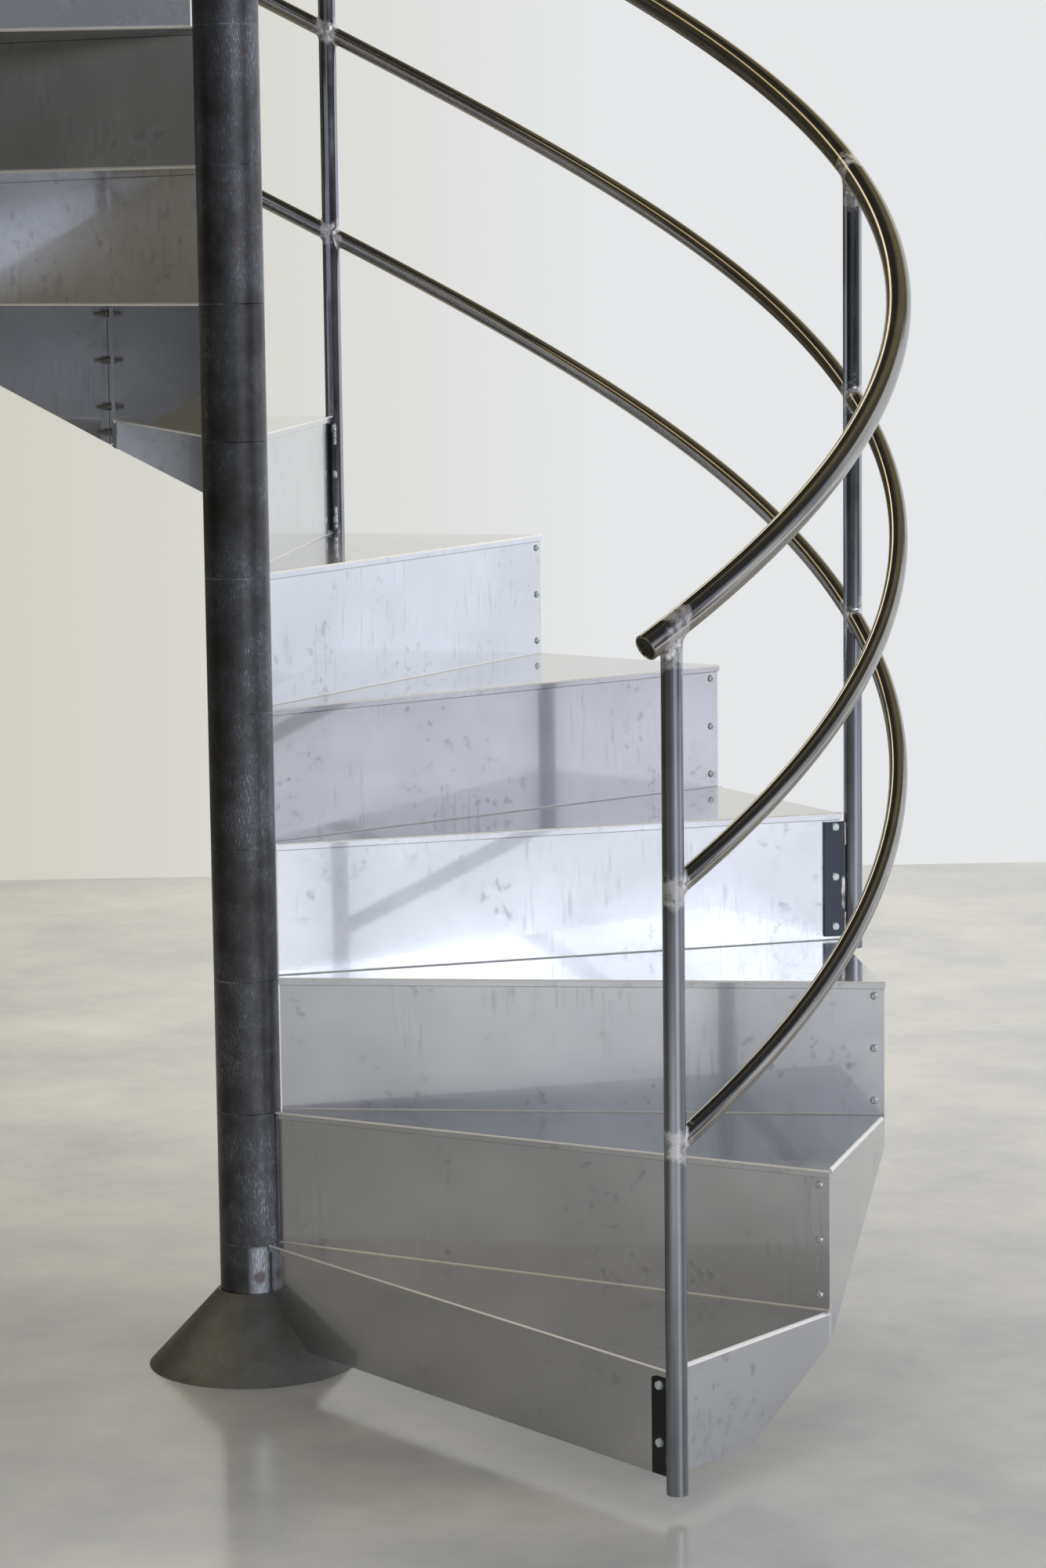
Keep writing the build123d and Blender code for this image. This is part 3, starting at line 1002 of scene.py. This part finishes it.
# floor, backdrop and studio light
stageSettings = {
    "floorTones": [(0.3, "#757779"), (0.7, "#999893")],
    "floorRoughness": (0.1, 0.19),
    "floorClouds": {"Scale": 1.9, "Detail": 8, "Roughness": 0.64},  # half a metre across, as a power float leaves them
    "floorReach": 14,
    "wallDistance": 4.42,
    "wallTurn": 2.0,
    "wallLeft": "#D2CFC4",
    "wallRight": "#E5E7E8",
    # where the paint passes from left to right, and how many degrees off its middle metal stops mirroring it
    "wallSpan": (-0.13, 0.02),
    "wallMirrored": (16, 10),
    # the studio's surround as metal mirrors it: by azimuth, brightness where 1 is white, and its tint
    "plinthLevel": {
        -180: (0.12, "#E8DCC4"),
        -160: (0.2, "#E8DCC4"),
        -145: (0.21, "#E8DCC4"),
        -120: (0.05, "#F0E4CC"),
        -102: (0.02, "#F2EEE2"),
        -75: (0.04, "#F0F2F4"),
        -57: (0.17, "#F0F4FA"),
        -40: (0.15, "#F0F4FF"),
        -10: (0.03, "#F2EADC"),
        15: (0.15, "#F2EADC"),
        42: (0.2, "#F4EEE6"),
        56: (1.5, "#F0F5FF"),
        84: (1.2, "#F0F5FF"),
        110: (1.0, "#F0F5FF"),
        129: (0.8, "#FCFEFF"),
        148: (0.69, "#FFFDF6"),
        156: (0.3, "#F4EEE0"),
        166: (0.12, "#F0E6D0"),
    },
    "windowLevel": {
        -180: (0.1, "#F0E6D0"),
        -162: (0.08, "#F0E6D0"),
        -140: (0.08, "#F0E6D0"),
        -120: (0.06, "#F2E8D6"),
        -96: (0.47, "#F4EFE6"),
        -75: (0.36, "#F2F4F8"),
        -54: (0.42, "#F0F5FF"),
        -44: (0.85, "#F0F5FF"),
        -35: (0.85, "#F0F5FF"),
        -20: (1.6, "#F0F5FF"),
        -8: (3.8, "#F0F5FF"),
        0: (3.0, "#F0F5FF"),
        10: (2.6, "#F0F5FF"),
        20: (1.2, "#F0F5FF"),
        28: (0.32, "#ECEEFA"),
        33: (0.28, "#ECEEFA"),
        36: (1.35, "#ECEEFA"),
        46: (1.35, "#ECEEFA"),
        62: (0.6, "#F0F5FF"),
        84: (1.2, "#F0F5FF"),
        110: (0.9, "#F0F5FF"),
        129: (0.8, "#FCFEFF"),
        148: (0.69, "#FFFDF6"),
        156: (0.3, "#F4EEE0"),
        166: (0.12, "#F0E6D0"),
    },
    "upperLevel": {
        -180: (0.12, "#E8DCC4"),
        -110: (0.1, "#E8E4DC"),
        -50: (0.12, "#DDE6F6"),
        -15: (0.4, "#D0DEFA"),
        30: (0.6, "#C8DAFF"),
        60: (0.6, "#D0DEFA"),
        72: (1.2, "#E8EEFA"),
        92: (1.2, "#F0F2F6"),
        99: (0.16, "#F0F0EC"),
        122: (0.17, "#F0EADC"),
        150: (0.24, "#F6E6C4"),
        172: (0.2, "#F6E6C4"),
    },
    "ceiling": {
        -180: (0.05, "#F4F6FC"),
        -120: (0.12, "#F8E6C0"),
        -70: (0.07, "#F4F6FC"),
        60: (0.08, "#F4F6FC"),
        90: (0.16, "#FAF0D8"),
        105: (0.28, "#FFF2C8"),
        125: (0.28, "#FFF0C4"),
        145: (0.06, "#F4ECDC"),
    },
    # a warm row of light that runs from the far wall over the hall, and draws the golden line along the tubes
    "stripLight": {
        -180: (2.6, "#FFEEC8"),
        -145: (1.9, "#FFE6B0"),
        -84: (1.8, "#FFE6B0"),
        -60: (0.8, "#FFE6B0"),
        -45: (0, "#FFE6B0"),
        96: (0, "#FFE6B0"),
        108: (0.5, "#FFE6B0"),
        124: (1.1, "#FFE6B0"),
        142: (3.2, "#FFF0D0"),
        170: (3.2, "#FFF0D0"),
    },
    # how high that row stands at each azimuth, in degrees
    "stripHeight": {-180: 36, -145: 49, -130: 56, -84: 57, 96: 29.5, 170: 29.5, 180: 36},
    "stripEdge": (5.46, 2.94),  # how many degrees off its middle the row ends, and is full
    # from which height to which one level passes into the next, in degrees
    "toWindows": (3.8, 7.0),
    "toUpper": (22, 28),
    "toCeiling": (34, 43),
}


def makeFloorFinish(s):
    # power-floated concrete: cloudy pale grey with a soft gloss that mirrors the wall far off
    material, tree, shader = newMaterial("powerFloatedConcrete")
    place = addNode(tree, "TexCoord").outputs["Object"]
    clouds = addNode(tree, "TexNoise", s["floorClouds"], {"Vector": place})
    surface = {
        "Base Color": rampStops(addNode(tree, "ValToRGB", None, {"Fac": clouds}), s["floorTones"]),
        "Roughness": addNode(tree, "MapRange", noiseSpan + s["floorRoughness"], {"Value": clouds}),
    }
    linkInputs(tree, shader, surface)
    return material


def addLightRing(tree, turn, stops):
    # one level of the surround: brightness and tint by azimuth, held as shares of its brightest stop
    stops = {**stops, 180: stops[-180]}  # the ring closes on its first stop
    most = max(glow for glow, tint in stops.values())
    ring = addNode(tree, "ValToRGB", None, {"Fac": turn})
    rampStops(ring, [((degrees + 180) / 360, "#000000") for degrees in sorted(stops)])
    for element, degrees in zip(ring.color_ramp.elements, sorted(stops)):
        glow, tint = stops[degrees]
        element.color = [c * glow / most for c in hexLinear(tint)[:3]] + [1]
    return addNode(tree, "VectorMath", {"operation": "SCALE", "Scale": most}, {0: ring})


def makeSurround(s):
    world = bpy.data.worlds.new("studio")
    bpy.context.scene.world = world
    world.use_nodes = True
    tree = world.node_tree
    tree.nodes.clear()
    way = addNode(tree, "TexCoord").outputs["Generated"]
    parts = addNode(tree, "SeparateXYZ", None, {0: way})
    azimuth = addNode(tree, "Math", {"operation": "ARCTAN2"}, {0: parts.outputs["Y"], 1: parts.outputs["X"]})
    turn = addNode(tree, "MapRange", (-math.pi, math.pi), {"Value": azimuth})
    rise = addNode(tree, "Math", {"operation": "ARCSINE"}, {0: parts.outputs["Z"]})

    glow = addLightRing(tree, turn, s["plinthLevel"])
    for level, span in (("windowLevel", "toWindows"), ("upperLevel", "toUpper"), ("ceiling", "toCeiling")):
        low, high = (math.radians(degrees) for degrees in s[span])
        above = addNode(tree, "MapRange", (low, high), {"Value": rise})
        above.interpolation_type = "SMOOTHSTEP"
        ring = addLightRing(tree, turn, s[level])
        # inputs 4 and 5 and output 1 are the node's vectors
        mixed = addNode(tree, "Mix", {"data_type": "VECTOR"}, {0: above, 4: glow, 5: ring})
        glow = mixed.outputs[1]

    # the row of light, at its own height for each azimuth
    heights = sorted(s["stripHeight"].items())
    row = addNode(tree, "ValToRGB", None, {"Fac": turn})
    rampStops(row, [((degrees + 180) / 360, math.radians(height)) for degrees, height in heights])
    off = addNode(tree, "Math", {"operation": "SUBTRACT"}, {0: rise, 1: row})
    away = addNode(tree, "Math", {"operation": "ABSOLUTE"}, {0: off})
    outside, inside = (math.radians(degrees) for degrees in s["stripEdge"])
    strip = addNode(tree, "MapRange", (outside, inside), {"Value": away})
    stripRing = addLightRing(tree, turn, s["stripLight"])
    stripGlow = addNode(tree, "VectorMath", {"operation": "SCALE"}, {0: stripRing, "Scale": strip})
    glow = addNode(tree, "VectorMath", {"operation": "ADD"}, {0: glow, 1: stripGlow})
    light = addNode(tree, "Background", {"Strength": 1.0}, {"Color": glow})

    # the painted wall that the camera sees behind the stair, a little warmer on its left
    heading = math.radians(cameraSettings["heading"])
    right, ahead = (math.sin(heading), -math.cos(heading), 0), roundAxis(1, heading)
    across = addNode(tree, "VectorMath", {"operation": "DOT_PRODUCT", 1: right}, {0: way})
    side = addNode(tree, "MapRange", s["wallSpan"], {"Value": across.outputs["Value"]})
    paints = {"Color1": hexLinear(s["wallLeft"]), "Color2": hexLinear(s["wallRight"])}
    paint = addNode(tree, "MixRGB", paints, {"Fac": side})
    wall = addNode(tree, "Background", {"Strength": 1.0}, {"Color": paint})
    # metal that faces that wall mirrors the same paint
    towards = addNode(tree, "VectorMath", {"operation": "DOT_PRODUCT", 1: ahead}, {0: way})
    outside, inside = (math.cos(math.radians(degrees)) for degrees in s["wallMirrored"])
    wallHere = addNode(tree, "MapRange", (outside, inside), {"Value": towards.outputs["Value"]})
    path = addNode(tree, "LightPath").outputs
    rays = {0: path["Is Glossy Ray"], 1: path["Is Transmission Ray"]}
    mirroring = addNode(tree, "Math", {"operation": "MAXIMUM"}, rays)
    mirrored = addNode(tree, "Math", {"operation": "MULTIPLY"}, {0: mirroring, 1: wallHere})
    shown = addNode(tree, "Math", {"operation": "MAXIMUM"}, {0: path["Is Camera Ray"], 1: mirrored})
    mix = addNode(tree, "MixShader", None, {0: shown, 1: light, 2: wall})
    addNode(tree, "OutputWorld", None, {"Surface": mix})


def makeStage(s):
    heading = math.radians(cameraSettings["heading"] + s["wallTurn"])
    ahead = roundAxis(1, heading)
    side = Vector((ahead.y, -ahead.x, 0))
    reach = s["floorReach"]
    near = -ahead * reach
    far = ahead * s["wallDistance"]
    corners = (near - side * reach, near + side * reach, far + side * reach, far - side * reach)
    mesh = bpy.data.meshes.new("floor")
    mesh.from_pydata([tuple(c) for c in corners], [], [(0, 1, 2, 3)])
    mesh.materials.append(makeFloorFinish(s))
    floor = addObject("floor", mesh)
    makeSurround(s)


# lamps that light the floor and don't show in the metal; a glow of 1 is white
lampSettings = {
    "overhead": {"place": (1.4, 0.2, 5.6), "size": (4.0, 4.0), "glow": 1.17, "colour": "#FFFFFF"},
    "overheadFront": {"place": (2.1, -1.95, 0.9), "size": (1.8, 1.8), "glow": 7.8, "colour": "#F8FAFF"},
    "overheadRight": {"place": (4.3, 0.3, 1.6), "size": (2.4, 2.4), "glow": 3.3, "colour": "#F8FAFF"},
    "overheadSide": {"place": (5.3, 4.6, 2.0), "size": (3.6, 3.6), "glow": 12.5, "colour": "#ECEDFF"},
    "overheadFar": {"place": (-2.0, 2.8, 3.2), "size": (5.0, 5.0), "glow": 4.3, "colour": "#FFFAF0"},
}


def makeLamps(lamps):
    for name, s in lamps.items():
        data = bpy.data.lights.new(name, "AREA")
        data.shape = "RECTANGLE"
        data.size, data.size_y = s["size"]
        data.energy = s["glow"] * math.pi * s["size"][0] * s["size"][1]
        data.color = hexLinear(s["colour"])[:3]
        lamp = addObject(name, data)
        lamp.location = s["place"]  # it shines straight down
        lamp.visible_camera = False
        lamp.visible_glossy = False


makeStage(stageSettings)
makeLamps(lampSettings)
bpy.context.scene.view_settings.view_transform = "Standard"
print("stage and light set")
